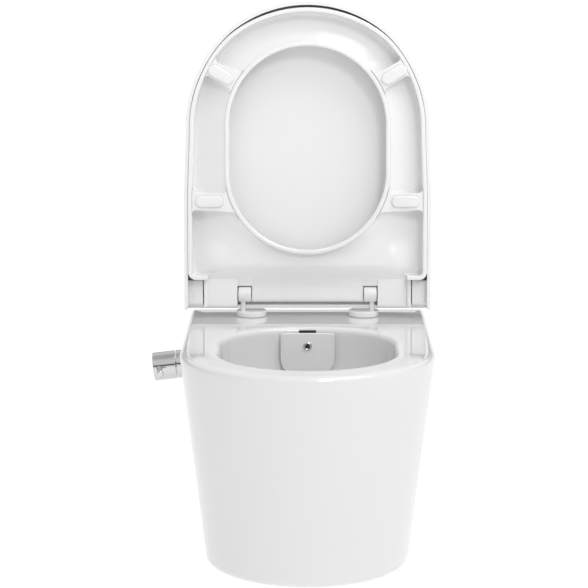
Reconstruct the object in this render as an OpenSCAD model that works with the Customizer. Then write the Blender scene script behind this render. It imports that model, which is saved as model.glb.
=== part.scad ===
/* [Pan] */
// Width of the pan across its rim
pan_w = 360; // [350:1:370]
// How far the rim stands out from the wall
pan_reach = 490; // [480:5:520]
// Height of the pan from its underside to its rim
pan_h = 310; // [300:5:330]
// Width of the pan across its underside
base_w = 292; // [280:1:310]
// How far the underside stands out from the wall
base_reach = 437; // [420:1:450]
// Thickness of the ceramic walls
wall_t = 11; // [9:0.5:12]

/* [Bowl] */
// Width of the opening in the rim
opening_w = 253; // [240:1:260]
// Distance from the wall to the back of the opening
opening_back = 145; // [142:1:150]
// Distance from the wall to the front of the opening
opening_front = 440; // [430:1:444]

/* [Wall fixing and pipes] */
// Distance between the two wall studs
stud_spacing = 180; // [170:5:190]
// Hole for each wall stud
stud_hole_d = 13; // [12.5:0.5:14]
// Height of the rim above the wall studs
rim_z = 85; // [80:1:90]
// Bore that takes the flush pipe
inlet_d = 55; // [54:0.5:56]
// Height of the flush pipe above the wall studs
inlet_z = 35; // [33:1:36]
// Outside of the waste spigot
outlet_d = 102; // [98:1:104]
// Height of the waste spigot above the wall studs
outlet_z = -100; // [-102:1:-98]

/* [Seat and lid] */
// Width of the lid
lid_w = 372; // [371:1:376]
// How far the lid reaches from the hinge axis
lid_reach = 440; // [436:1:444]
// Width of the seat
seat_w = 359; // [356:1:360]
// How far the seat reaches from the hinge axis
seat_reach = 433; // [430:1:434]
// Width of the hole in the seat
seat_hole_w = 235; // [225:1:240]
// Angle that the raised seat and lid lean back from upright
lean = 5; // [3:0.5:5]

/* [Hinge] */
// Distance from the wall to the hinge axis
axis_y = 56; // [55.5:0.5:60]
// Height of the hinge axis above the rim
axis_rise = 34.5; // [34:0.5:36]
// Diameter of the two hinge barrels
barrel_d = 23.4; // [22:0.2:23.6]
// Distance between the two seat bolts
bolt_spacing = 155; // [150:1:160]

/* [Tap and nozzle] */
// Distance from the wall to the tap
tap_y = 130; // [126:1:134]
// How far below the rim the tap leaves the pan
tap_drop = 56; // [52:1:60]
// Diameter of the tap handle
tap_d = 42; // [38:1:44]
// Width of the nozzle shield
shield_w = 80; // [74:1:86]
// Height of the nozzle shield
shield_h = 62; // [56:1:66]

/* [Hidden] */
$fn = 64;
hull_fn = 48;
eps = 0.01;

ceramic = "white";
plastic = "whitesmoke";
chromed = "silver";
rubber_grey = "gainsboro";

axis_z = rim_z + axis_rise;
base_z = rim_z - pan_h;
rim_round = 8;
base_round = 12;

// The raised seat and lid, seen as lying closed: t runs forward from the axis, z runs up from it.
closed_turn = 90 + lean;
lid_top = 16.5;
lid_t = 4.2;
lid_wall = 4.5;
lid_edge = -29;
lid_round = 12;
heel = 24;
seat_edge = -31.5;
seat_top = 6;
seat_hole_top = -13;
seat_t = 5.5;
seat_wall = 6;
seat_back = 24;
lip_r = seat_hole_w / 2 + 6.6;
lip_edge = -30;
seat_centre = seat_reach - seat_w / 2;
lid_centre = lid_reach - lid_w / 2;
hole_front = 256.5;
hole_rear = 186.5;
knuckle_in = 106;
knuckle_out = 156.6;
knuckle_heel = 19.5;
knuckle_low = -15;
barrel_in = 85.4;
barrel_out = 104.5;
barrel_gap = 1;
shaft_r = 4;
damper_r = 9;
damper_end = 148;
pivot_r = 5;
lug_end = 176;
lug_r = 12.5;
run_fit = 0.05;
disc_r = 23;
disc_x = 85.4;
disc_y = -50;
disc_h = 8;
gasket_t = 1;
post_x = 97.8;
post_r = 3.8;
bumper_l = 42;
bumper_w = 18;
bridge_w = 26;
pad_x = 147;
pad_t = 142;
front_pad_r = 151;
front_pad_angle = 31;
bumper_gap = 0.3;

// The tap's own axis leaves the tapered side wall squarely.
side_slope = atan((pan_w - base_w) / 2 / (pan_h - rim_round - base_round));
tap_z = rim_z - tap_drop;
tap_wall_x = pan_w / 2 - (tap_drop - rim_round) * tan(side_slope);
base_ring_l = 20;
handle_gap = 1.2;
handle_l = 34;
lever_at = 28;
lever_r = 4.5;
lever_l = 37;
lever_droop = 6;

shield_y = opening_back + 10;
shield_t = 5;
nozzle_z = rim_z - 25;
nozzle_r = 5;
nozzle_end = -118;
seal_y = -opening_back + wall_t - 0.6;
seal_t = 2;
nut_l = 6;
pipe_r = 4;
pipe_bend = 12;
pipe_y = -104;
outlet_x = -122;
supply_x = -142;
valve_port_z = tap_z + 22;
waste_r = 45;
trap_r = 30;
trap_bead = 1;
passage_r = 14;
inlet_seat = -50;
seal_r = 25;

// ---------- helpers ----------

// A D outline: a half round front and straight sides back to the plane y = back.
module d_outline(w, reach, back = 0) {
    translate([0, -(reach - w / 2)]) circle(r = w / 2);
    translate([-w / 2, -(reach - w / 2)]) square([w, reach - w / 2 + back]);
}

// An egg outline with its own half ellipse at the back and at the front.
module egg_outline(rx, y_back, y_front, c_back, c_front) {
    translate([0, c_back]) scale([1, (y_back - c_back) / rx]) circle(r = rx, $fn = hull_fn);
    translate([0, c_front]) scale([1, (c_front - y_front) / rx]) circle(r = rx, $fn = hull_fn);
}

// A round bar between two points in the plane x = 0.
module bar_yz(from, to, r) {
    run = to - from;
    translate([0, from[0], from[1]])
        rotate([atan2(-run[0], run[1]), 0, 0])
        cylinder(r = r, h = norm(run));
}

// A round bar along +X from one x to another.
module bar_x(x0, x1, r) {
    translate([x0, 0, 0]) rotate([0, 90, 0]) cylinder(r = r, h = x1 - x0);
}

// Places a closed shape at the hinge, raised and leaning back.
module raised() {
    translate([0, -axis_y, axis_z]) rotate([-closed_turn, 0, 0]) children();
}

// The tap's frame: +X runs outwards along the tap's axis from the outside of the wall.
module at_tap() {
    translate([-tap_wall_x, -tap_y, tap_z]) rotate([0, 180 - side_slope, 0]) children();
}

// The lever's frame within the tap's: +Z runs out along the lever.
module at_lever() {
    translate([lever_at + base_ring_l, 0, 0]) rotate([90 - lever_droop, 0, 0]) children();
}

// Both sides of the seat.
module both_sides() {
    children();
    mirror([1, 0, 0]) children();
}

// A flat stadium of length l along X.
module stadium(l, w) {
    square([l - w, w], center = true);
    for (s = [-1, 1]) translate([s * (l - w) / 2, 0]) circle(r = w / 2);
}

// ---------- pan ----------

// The pan's outside, or the same shape drawn in by t on every side but the back.
module pan_mass(t, back) {
    hull() {
        for (a = [0 : 22.5 : 90])
            translate([0, 0, rim_z - eps - t - rim_round * (1 - cos(a))])
            linear_extrude(eps)
            d_outline(pan_w - 2 * t - 2 * rim_round * (1 - sin(a)),
                      pan_reach - t - rim_round * (1 - sin(a)), back, $fn = 96);
        for (a = [0 : 30 : 90])
            translate([0, 0, base_z + t + base_round * (1 - cos(a))])
            linear_extrude(eps)
            d_outline(base_w - 2 * t - 2 * base_round * (1 - sin(a)),
                      base_reach - t - base_round * (1 - sin(a)), back, $fn = 96);
    }
}

// The bowl's inside, or the same shape grown by t for its outside.
module bowl_mass(t) {
    rx = opening_w / 2 + t;
    hull() {
        translate([0, 0, rim_z - eps])
            linear_extrude(2)
            egg_outline(rx, -opening_back + t, -opening_front - t, -252, -322);
        translate([0, 0, -25])
            linear_extrude(eps)
            egg_outline(rx - 8, -152 + t, -424 - t, -250, -318);
        translate([0, 0, -110])
            linear_extrude(eps)
            egg_outline(84 + t, -166 + t, -366 - t, -245, -275);
        translate([0, 0, -165])
            linear_extrude(eps)
            egg_outline(56 + t, -176 + t, -300 - t, -232, -245);
        translate([0, 0, -205 - t / 2])
            linear_extrude(eps)
            egg_outline(40 + t, -192 + t, -272 - t, -232, -233);
    }
}

// The water's way out: along under the bowl, up over the weir and out at the back.
module trap_mass(grow, out_r, y_end) {
    bar_yz([-245, -180], [-150, -180], trap_r + grow);
    translate([0, -150, -180]) sphere(r = trap_r + grow + trap_bead);
    bar_yz([-150, -180], [-100, -78], trap_r + grow);
    translate([0, -100, -78]) sphere(r = trap_r + grow + trap_bead);
    bar_yz([-64 - grow, outlet_z], [y_end, outlet_z], out_r);
    bar_yz([-100, -85], [-60, -89], trap_r + grow);
}

module pan() {
    stud_low = -28;
    stud_block = [36, 36, rim_z - 6 - stud_low];
    color(ceramic) difference() {
        union() {
            difference() {
                pan_mass(0, 0);
                pan_mass(wall_t, 20);
            }
            intersection() {
                translate([-pan_w / 2, -pan_reach, base_z + 4])
                    cube([pan_w, pan_reach, pan_h - 8]);
                union() {
                    bowl_mass(wall_t);
                    trap_mass(8, outlet_d / 2, -10);
                    bar_yz([-opening_back - 5, inlet_z - 10], [-60, inlet_z - 5], passage_r + 8);
                    bar_yz([-66, inlet_z], [0, inlet_z], inlet_d / 2 + 9);
                    for (s = [-1, 1])
                        translate([s * stud_spacing / 2 - stud_block[0] / 2, -stud_block[1], stud_low])
                        cube(stud_block);
                }
            }
        }
        bowl_mass(0);
        hull() {
            translate([0, 0, rim_z])
                linear_extrude(eps)
                egg_outline(opening_w / 2 + 8, -opening_back + 8, -opening_front - 8, -252, -322);
            translate([0, 0, rim_z - 9])
                linear_extrude(eps)
                egg_outline(opening_w / 2, -opening_back, -opening_front, -252, -322);
        }
        trap_mass(0, waste_r, 1);
        bar_yz([inlet_seat, inlet_z], [1, inlet_z], inlet_d / 2);
        bar_yz([inlet_seat - 4, inlet_z], [inlet_seat + 1, inlet_z], seal_r);
        bar_yz([-opening_back - 25, inlet_z - 10], [inlet_seat - 3, inlet_z - 4], passage_r);
        for (s = [-1, 1]) {
            translate([s * bolt_spacing / 2, disc_y, rim_z - 30]) cylinder(r = 6, h = 40);
            translate([s * stud_spacing / 2, 0, 0]) bar_yz([-60, 0], [1, 0], stud_hole_d / 2 + 3.5);
        }
        translate([0, 0, nozzle_z]) bar_yz([-170, 0], [-120, 0], nozzle_r + 1);
        at_tap() bar_x(-30, 10, 12.5);
    }
}

module wall_bushes() {
    color(plastic) for (s = [-1, 1]) translate([s * stud_spacing / 2, 0, 0]) difference() {
        union() {
            bar_yz([-36, 0], [0, 0], stud_hole_d / 2 + 3.5);
            bar_yz([-39, 0], [-36, 0], stud_hole_d / 2 + 8);
        }
        bar_yz([-40, 0], [1, 0], stud_hole_d / 2);
    }
}

module inlet_seal() {
    color("dimgray") translate([0, 0, inlet_z]) difference() {
        bar_yz([inlet_seat - 4, 0], [inlet_seat - 0.5, 0], seal_r);
        bar_yz([inlet_seat - 5, 0], [inlet_seat, 0], seal_r - 5);
    }
}

// ---------- nozzle ----------

// The shield's front outline, with small corners above and large ones below.
module shield_outline() {
    small = 5;
    large = 20;
    for (s = [-1, 1]) {
        translate([s * (shield_w / 2 - small), shield_h - small]) circle(r = small);
        translate([s * (shield_w / 2 - large), large]) circle(r = large);
    }
    translate([-shield_w / 2, large]) square([shield_w, shield_h - large - small]);
    translate([-shield_w / 2 + large, 0]) square([shield_w - 2 * large, shield_h]);
    translate([-shield_w / 2 + small, large]) square([shield_w - 2 * small, shield_h - large]);
}

module nozzle_shield() {
    color(ceramic) difference() {
        union() {
            translate([0, -shield_y, rim_z - 5 - shield_h])
                rotate([90, 0, 0])
                linear_extrude(shield_t)
                shield_outline();
            bar_yz([-shield_y - eps, nozzle_z], [-opening_back - 3.5, nozzle_z], 11);
        }
        translate([0, 0, nozzle_z]) bar_yz([-shield_y - 10, 0], [-opening_back, 0], nozzle_r);
    }
}

module bidet_nozzle() {
    front = -shield_y - shield_t;
    color(chromed) translate([0, 0, nozzle_z]) difference() {
        union() {
            bar_yz([front, 0], [nozzle_end, 0], nozzle_r);
            bar_yz([front - 2, 0], [front, 0], nozzle_r + 1.5);
        }
        bar_yz([front - 3, 0], [front + 3, 0], 2.4);
        bar_yz([front + 2, 0], [nozzle_end + 1, 0], 1.5);
    }
}

module nozzle_seal() {
    color("dimgray") translate([0, 0, nozzle_z]) difference() {
        bar_yz([seal_y, 0], [seal_y + seal_t, 0], 9);
        bar_yz([seal_y - 1, 0], [seal_y + seal_t + 1, 0], nozzle_r);
    }
}

module nozzle_nut() {
    color(chromed) translate([0, seal_y + seal_t, nozzle_z]) rotate([-90, 0, 0]) difference() {
        cylinder(r = 9.4, h = nut_l, $fn = 6);
        translate([0, 0, -1]) cylinder(r = nozzle_r, h = nut_l + 2);
    }
}

// A quarter bend of pipe in the plane z = 0, from +Y round to -X.
module pipe_elbow() {
    rotate_extrude(angle = 90) translate([pipe_bend, 0]) circle(r = pipe_r);
}

// The pipe runs back from the nozzle, across to the valve's outlet and forward into it.
module nozzle_pipe() {
    color("lightsteelblue") translate([0, 0, nozzle_z]) {
        translate([0, nozzle_end, 0]) rotate([-90, 0, 0])
            cylinder(r = pipe_r, h = pipe_y - pipe_bend - nozzle_end);
        translate([-pipe_bend, pipe_y - pipe_bend, 0]) pipe_elbow();
        translate([0, pipe_y, 0]) bar_x(outlet_x + pipe_bend, -pipe_bend, pipe_r);
        translate([outlet_x + pipe_bend, pipe_y - pipe_bend, 0]) rotate([0, 0, 90]) pipe_elbow();
        translate([outlet_x, pipe_y - pipe_bend, 0]) sphere(r = pipe_r);
        translate([outlet_x, pipe_y - pipe_bend, valve_port_z - nozzle_z])
            cylinder(r = pipe_r, h = nozzle_z - valve_port_z);
    }
}

module pipe_nuts() {
    color(chromed) {
        translate([0, nozzle_end, nozzle_z]) rotate([-90, 0, 0]) difference() {
            cylinder(r = 7, h = 6, $fn = 6);
            translate([0, 0, -1]) cylinder(r = pipe_r, h = 8);
        }
        translate([outlet_x, pipe_y - pipe_bend, valve_port_z]) difference() {
            cylinder(r = 7, h = 5, $fn = 6);
            translate([0, 0, -1]) cylinder(r = pipe_r, h = 7);
        }
    }
}

// ---------- valve and tap ----------

module valve_body() {
    color("goldenrod") difference() {
        union() {
            at_tap() {
                bar_x(-62, -14.5, 17);
                bar_x(-14.5, 9, 12);
            }
            translate([outlet_x, pipe_y - pipe_bend, tap_z - 5]) cylinder(r = 6, h = 27);
            translate([supply_x, -tap_y, tap_z - 2]) bar_yz([0, 0], [34, 0], 9);
        }
        at_tap() bar_x(-52, 10, 8);
        translate([supply_x, -tap_y, tap_z - 2]) bar_yz([0, 0], [35, 0], 5);
        translate([outlet_x, pipe_y - pipe_bend, tap_z - 2]) cylinder(r = 3, h = 25);
    }
}

module valve_cartridge() {
    color("darkgray") difference() {
        at_tap() bar_x(-30, 4, 8);
        at_tap() bar_x(-22, 5, 4);
    }
}

module valve_seal() {
    color("dimgray") at_tap() difference() {
        bar_x(-14.5, -wall_t - 0.6, 16);
        bar_x(-16, -wall_t + 1, 12);
    }
}

module valve_nut() {
    color("goldenrod") at_tap() difference() {
        bar_x(0, 5, 17);
        bar_x(-1, 6, 12);
    }
}

module supply_nipple() {
    color(chromed) translate([supply_x, -tap_y + 34, tap_z - 2]) difference() {
        union() {
            bar_yz([0, 0], [26, 0], 8.3);
            rotate([-90, 0, 0]) cylinder(r = 11, h = 8, $fn = 6);
        }
        bar_yz([-1, 0], [27, 0], 5);
    }
}

module tap_base_ring() {
    color(chromed) at_tap() difference() {
        bar_x(0, base_ring_l, tap_d / 2);
        bar_x(-1, base_ring_l - 3, 17);
        bar_x(-1, base_ring_l + 1, 5.2);
    }
}

module tap_spindle() {
    color("darkgray") at_tap() bar_x(-21.9, base_ring_l + 14, 4 - run_fit);
}

module tap_handle() {
    start = base_ring_l + handle_gap;
    color(chromed) at_tap() difference() {
        bar_x(start, start + handle_l, tap_d / 2);
        bar_x(start - 1, start + 13, 4 - run_fit);
        at_lever() cylinder(r = lever_r, h = tap_d);
        translate([start + 6, 0, -tap_d]) cylinder(r = 2, h = tap_d);
    }
}

module tap_lever_pin() {
    color(chromed) at_tap() at_lever() {
        cylinder(r = lever_r, h = tap_d / 2 + lever_l - 1.5);
        translate([0, 0, tap_d / 2 + lever_l - 3.5]) cylinder(r = lever_r + 0.5, h = 3.5);
    }
}

module tap_screw() {
    color("dimgray") at_tap() translate([base_ring_l + handle_gap + 6, 0, -tap_d / 2 + 2])
        cylinder(r = 2, h = tap_d / 2 - 6);
}

// ---------- seat fixings and hinge ----------

module seat_bolts() {
    color("silver") for (s = [-1, 1])
        translate([s * bolt_spacing / 2, disc_y, rim_z - 45]) cylinder(r = 4, h = 50);
}

module bolt_cones() {
    color("dimgray") for (s = [-1, 1])
        translate([s * bolt_spacing / 2, disc_y, rim_z - wall_t - 14]) difference() {
            union() {
                cylinder(r1 = 7, r2 = 10, h = 14);
                cylinder(r = 5.9, h = 22);
            }
            translate([0, 0, -1]) cylinder(r = 4, h = 24);
        }
}

module bolt_nuts() {
    color(plastic) for (s = [-1, 1])
        translate([s * bolt_spacing / 2, disc_y, rim_z - wall_t - 24]) difference() {
            union() {
                cylinder(r = 8, h = 10);
                translate([-16, -2, 0]) cube([32, 4, 7]);
            }
            translate([0, 0, -1]) cylinder(r = 4, h = 12);
        }
}

module hinge_gaskets() {
    color(rubber_grey) for (s = [-1, 1]) difference() {
        translate([s * disc_x, disc_y, rim_z]) cylinder(r = disc_r - 0.6, h = gasket_t);
        translate([s * bolt_spacing / 2, disc_y, rim_z - 1]) cylinder(r = 6, h = 4);
    }
}

module hinge_disc(s) {
    edge = 2.5;
    color(plastic) difference() {
        translate([s * disc_x, disc_y, rim_z + gasket_t]) rotate_extrude() {
            square([disc_r, disc_h - edge]);
            square([disc_r - edge, disc_h]);
            translate([disc_r - edge, disc_h - edge]) circle(r = edge);
        }
        translate([s * bolt_spacing / 2, disc_y, rim_z]) cylinder(r = 4, h = 5);
        translate([s * post_x, -axis_y, rim_z + 4]) cylinder(r = post_r, h = 20);
    }
}

module hinge_post(s) {
    color(plastic) translate([s * post_x, -axis_y, rim_z + 4])
        cylinder(r = post_r, h = axis_rise - 4 - 7);
}

module hinge_barrel(s) {
    color(plastic) difference() {
        translate([s < 0 ? -barrel_out : barrel_in, -axis_y, axis_z])
            bar_x(0, barrel_out - barrel_in, barrel_d / 2);
        translate([s < 0 ? -barrel_out - 1 : barrel_in + 3, -axis_y, axis_z])
            bar_x(0, barrel_out - barrel_in - 2, shaft_r);
        translate([s * post_x, -axis_y, axis_z - 20]) cylinder(r = post_r, h = 13);
    }
}

module hinge_disc_left() { hinge_disc(-1); }
module hinge_disc_right() { hinge_disc(1); }
module hinge_post_left() { hinge_post(-1); }
module hinge_post_right() { hinge_post(1); }
module hinge_barrel_left() { hinge_barrel(-1); }
module hinge_barrel_right() { hinge_barrel(1); }

// The seat's damper is on the left and the lid's is on the right, seen from the front.
module seat_damper_shaft() {
    color("silver") translate([0, -axis_y, axis_z]) bar_x(-125, -barrel_in - 3, shaft_r);
}

module lid_damper_shaft() {
    color("silver") translate([0, -axis_y, axis_z]) bar_x(barrel_in + 3, 125, shaft_r);
}

module seat_damper() {
    color("dimgray") raised() difference() {
        bar_x(-damper_end, -knuckle_in, damper_r);
        bar_x(-126, -knuckle_in + 1, shaft_r + run_fit);
    }
}

module lid_damper() {
    color("dimgray") raised() difference() {
        bar_x(knuckle_in, lug_end, damper_r);
        bar_x(knuckle_in - 1, 126, shaft_r + run_fit);
    }
}

module lid_pivot_pin() {
    color("dimgray") raised() bar_x(-lug_end, -damper_end - 0.5, pivot_r);
}

// ---------- seat ----------

// The seat's section from its middle out: a dished top, a rounded edge and an upright wall.
module seat_section(inner) {
    r = seat_w / 2;
    edge = 7;
    polygon([[0, seat_edge], [0, seat_hole_top], [inner, seat_hole_top], [inner + 18, -6], [150, 4],
             [160, seat_top], [r - edge, seat_top], [r - edge, seat_edge]]);
    translate([r - edge - 1, seat_edge]) square([edge + 1, seat_top - edge - seat_edge]);
    translate([r - edge, seat_top - edge]) circle(r = edge);
}

// The hollow under the same section, a wall's thickness inside it.
module seat_hollow(inner) {
    polygon([[inner, seat_edge - 1], [inner, -20], [inner + 18, -13], [150, -3], [160, seat_top - seat_t],
             [seat_w / 2 - seat_wall - 4, seat_top - seat_t], [seat_w / 2 - seat_wall, seat_top - seat_t - 4],
             [seat_w / 2 - seat_wall, seat_edge - 1]]);
}

module seat_sweep(back) {
    translate([0, -seat_centre, 0]) rotate([0, 0, 180]) rotate_extrude(angle = 180) children(0);
    for (s = [0, 1]) mirror([s, 0, 0])
        translate([0, back, 0]) rotate([90, 0, 0]) linear_extrude(seat_centre + back) children(0);
}

// The long hole in the seat, grown by g.
module hole_outline(g) {
    r = seat_hole_w / 2 + g;
    for (t = [hole_front, hole_rear]) translate([0, -t]) circle(r = r);
    translate([-r, -hole_front]) square([2 * r, hole_front - hole_rear]);
}

// The places of the two bumpers on the right-hand side, at the front and at the rear.
module at_front_pad() {
    translate([0, -seat_centre, 0])
        rotate([0, 0, -front_pad_angle])
        translate([front_pad_r, 0, 0])
        children();
}

module at_rear_pad() {
    translate([pad_x, -pad_t, 0]) children();
}

module seat_bridge() {
    translate([-24, -bridge_w / 2, seat_edge + 1]) cube([48, bridge_w, 30]);
}

module seat_knuckle() {
    edge = 6;
    w = knuckle_out - knuckle_in;
    centre = knuckle_heel - edge;
    h = seat_top - knuckle_low;
    translate([knuckle_in, -seat_back - 1, knuckle_low]) cube([w, seat_back + 1 + centre, h]);
    translate([knuckle_in, centre - 1, knuckle_low + edge]) cube([w, 1 + edge, h - 2 * edge]);
    translate([0, centre, knuckle_low + edge]) bar_x(knuckle_in, knuckle_out, edge);
    translate([0, centre, seat_top - edge]) bar_x(knuckle_in, knuckle_out, edge);
}

// The seat's back rises over the hinge axis between the barrels.
module seat_rear() {
    rotate([90, 0, 90]) translate([0, 0, -knuckle_out]) linear_extrude(2 * knuckle_out) {
        polygon([[-80, seat_hole_top], [-34, seat_top], [0, seat_top],
                 [0, -5], [-14, -5], [-40, -18], [-80, -18]]);
        translate([0, -5]) square([11.7 - 5, seat_top + 5]);
        translate([11.7 - 5.5, seat_top - 5.5]) circle(r = 5.5);
    }
}

module seat() {
    color(plastic) raised() difference() {
        union() {
            difference() {
                seat_sweep(-seat_back) seat_section(seat_hole_w / 2);
                difference() {
                    seat_sweep(-seat_back - seat_wall) seat_hollow(lip_r);
                    translate([0, 0, -40]) linear_extrude(60) hole_outline(6.6);
                }
                translate([-lip_r - 2, -hole_rear, seat_edge - 1])
                    cube([2 * lip_r + 4, hole_rear - seat_back - seat_wall, -18 - seat_edge + 1]);
            }
            intersection() {
                seat_sweep(-seat_back) seat_section(seat_hole_w / 2);
                union() {
                    both_sides() {
                        at_front_pad() seat_bridge();
                        at_rear_pad() seat_bridge();
                    }
                    translate([0, 0, lip_edge]) linear_extrude(12) hole_outline(6.6);
                }
            }
            both_sides() seat_knuckle();
            seat_rear();
        }
        translate([0, 0, -60]) linear_extrude(120) hole_outline(0);
        both_sides() {
            translate([barrel_in - barrel_gap, -barrel_d / 2 - barrel_gap, -60])
                cube([knuckle_in - barrel_in + barrel_gap, 60, 120]);
            translate([0, 0, seat_edge - 4]) {
                at_front_pad() linear_extrude(6) stadium(bumper_l, bumper_w);
                at_rear_pad() linear_extrude(6) stadium(bumper_l, bumper_w);
            }
        }
        bar_x(-damper_end, -knuckle_in + 1, damper_r);
        bar_x(-knuckle_out - 1, -damper_end + 1, pivot_r + run_fit);
        bar_x(knuckle_in - 1, knuckle_out + 1, damper_r + run_fit);
    }
}

module bumper() {
    foot = -axis_rise + bumper_gap;
    translate([0, 0, foot]) linear_extrude(seat_edge + 2 - foot) stadium(bumper_l, bumper_w);
}

module seat_front_bumpers() {
    color(rubber_grey) raised() both_sides() at_front_pad() bumper();
}

module seat_rear_bumpers() {
    color(rubber_grey) raised() both_sides() at_rear_pad() bumper();
}

// ---------- lid ----------

module lid_section(t) {
    r = lid_w / 2 - t;
    top = lid_top - (t > 0 ? lid_t : 0);
    round_r = lid_round - t;
    low = t > 0 ? lid_edge - 1 : lid_edge;
    translate([0, low]) square([r, top - round_r - low]);
    translate([0, low]) square([r - round_r, top - low]);
    translate([r - round_r, top - round_r]) circle(r = round_r);
}

module lid_sweep(t, back) {
    translate([0, -lid_centre, 0]) rotate([0, 0, 180]) rotate_extrude(angle = 180)
        intersection() {
            lid_section(t);
            translate([0, -100]) square([400, 200]);
        }
    for (s = [0, 1]) mirror([s, 0, 0])
        translate([0, back, 0]) rotate([90, 0, 0]) linear_extrude(lid_centre + back) lid_section(t);
}

// Rounds off the lid's back edge, so that it clears the hinge discs as it turns.
module lid_heel_cut() {
    translate([0, heel - lid_round, lid_top - lid_round]) difference() {
        translate([-lid_w, 0, 0]) cube([2 * lid_w, lid_round + 1, lid_round + 1]);
        bar_x(-lid_w - 1, lid_w + 1, lid_round);
    }
}

module lid_lug() {
    translate([knuckle_out + 0.8, -lug_r, 0])
        cube([lid_w / 2 - lid_wall - knuckle_out, 2 * lug_r, lid_top - lid_t + 1]);
    bar_x(knuckle_out + 0.8, lid_w / 2 - 3, lug_r);
}

module lid() {
    color(plastic) raised() difference() {
        union() {
            difference() {
                lid_sweep(0, heel);
                lid_sweep(lid_wall, heel + 1);
            }
            both_sides() lid_lug();
        }
        lid_heel_cut();
        bar_x(-lug_end, -knuckle_out, pivot_r);
        bar_x(knuckle_out, lug_end, damper_r);
    }
}

module lid_bumpers() {
    color(rubber_grey) raised() both_sides()
        for (p = [[150, 180], [95, 380]])
            translate([p[0], -p[1], seat_top + 0.4]) cylinder(r = 7, h = lid_top - lid_t - seat_top - 0.4);
}

pan();
wall_bushes();
inlet_seal();
nozzle_shield();
bidet_nozzle();
nozzle_seal();
nozzle_nut();
nozzle_pipe();
pipe_nuts();
valve_body();
valve_cartridge();
valve_seal();
valve_nut();
supply_nipple();
tap_base_ring();
tap_spindle();
tap_handle();
tap_lever_pin();
tap_screw();
seat_bolts();
bolt_cones();
bolt_nuts();
hinge_gaskets();
hinge_disc_left();
hinge_disc_right();
hinge_post_left();
hinge_post_right();
hinge_barrel_left();
hinge_barrel_right();
seat_damper_shaft();
lid_damper_shaft();
seat();
seat_damper();
seat_front_bumpers();
seat_rear_bumpers();
lid();
lid_damper();
lid_pivot_pin();
lid_bumpers();
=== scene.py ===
"""Looks of a wall-hung pan with a rinsing nozzle, a side tap, a soft-close seat and a wrap-over lid."""

import logging
import math
from collections.abc import Callable, Sequence
from dataclasses import dataclass, field
from enum import Enum

import bmesh
import bpy
from mathutils import Matrix, Vector


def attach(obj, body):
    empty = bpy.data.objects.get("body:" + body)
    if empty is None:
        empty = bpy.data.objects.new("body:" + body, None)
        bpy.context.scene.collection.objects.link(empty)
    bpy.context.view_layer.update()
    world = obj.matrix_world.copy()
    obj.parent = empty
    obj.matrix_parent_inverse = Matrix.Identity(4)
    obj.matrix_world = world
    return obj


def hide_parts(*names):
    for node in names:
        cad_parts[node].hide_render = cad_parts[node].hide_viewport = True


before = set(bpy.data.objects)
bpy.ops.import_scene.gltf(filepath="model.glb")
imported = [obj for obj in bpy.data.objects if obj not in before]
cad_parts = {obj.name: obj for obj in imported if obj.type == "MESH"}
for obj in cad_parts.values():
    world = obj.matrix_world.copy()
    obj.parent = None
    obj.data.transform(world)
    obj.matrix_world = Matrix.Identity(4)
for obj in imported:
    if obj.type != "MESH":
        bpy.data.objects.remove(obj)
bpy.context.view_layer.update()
LOG = logging.getLogger("pan")
MM = 0.001

AXIS_Y = -56.0
AXIS_Z = 119.5
RIM_Z = 85.0
LEAN = 5.0
TAPER = 3.3
RAISED = (
    Matrix.Translation((0, AXIS_Y * MM, AXIS_Z * MM))
    @ Matrix.Rotation(math.radians(-90 - LEAN), 4, "X")
    @ Matrix.Scale(MM, 4)
)
METRES = Matrix.Scale(MM, 4)

Point = tuple[float, float, float]


def smoothstep(low: float, high: float, value: float) -> float:
    """Rises smoothly from 0 at low to 1 at high, or falls if high is the lower."""
    t = min(max((value - low) / (high - low), 0.0), 1.0)
    return t * t * (3 - 2 * t)


def mix(a: float, b: float, t: float) -> float:
    """The value a share t of the way from a to b."""
    return a + (b - a) * t


def table(knots: Sequence[tuple[float, ...]], at: float) -> tuple[float, ...]:
    """Looks a value up in a table.

    Args:
        knots: Rows whose first number is where they stand and whose others are the values there.
        at: Where to look.

    Returns:
        The values there, on straight lines between the rows.
    """
    for low, high in zip(knots, knots[1:]):
        if at <= high[0]:
            t = (at - low[0]) / (high[0] - low[0])
            return tuple(mix(a, b, min(max(t, 0.0), 1.0)) for a, b in zip(low[1:], high[1:]))
    return tuple(knots[-1][1:])


def eased(knots: Sequence[tuple[float, ...]], at: float) -> tuple[float, ...]:
    """Looks a value up on a smooth curve through the rows of a table.

    Args:
        knots: Rows whose first number is where they stand and whose others are the values there.
        at: Where to look.

    Returns:
        The values there, on a Catmull-Rom curve.
    """
    last = len(knots) - 1
    i = max(n for n in range(last) if knots[n][0] <= at or n == 0)
    rows = [knots[max(i - 1, 0)], knots[i], knots[i + 1], knots[min(i + 2, last)]]
    span = rows[2][0] - rows[1][0]
    t = min(max((at - rows[1][0]) / span, 0.0), 1.0)
    before = span / max(rows[2][0] - rows[0][0], 1e-6)
    after = span / max(rows[3][0] - rows[1][0], 1e-6)
    out = []
    for a, b, c, d in zip(*(row[1:] for row in rows)):
        m0, m1 = (c - a) * before, (d - b) * after
        out.append(
            (2 * t**3 - 3 * t**2 + 1) * b
            + (t**3 - 2 * t**2 + t) * m0
            + (3 * t**2 - 2 * t**3) * c
            + (t**3 - t**2) * m1
        )
    return tuple(out)


# ---------- shader graph ----------


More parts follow.
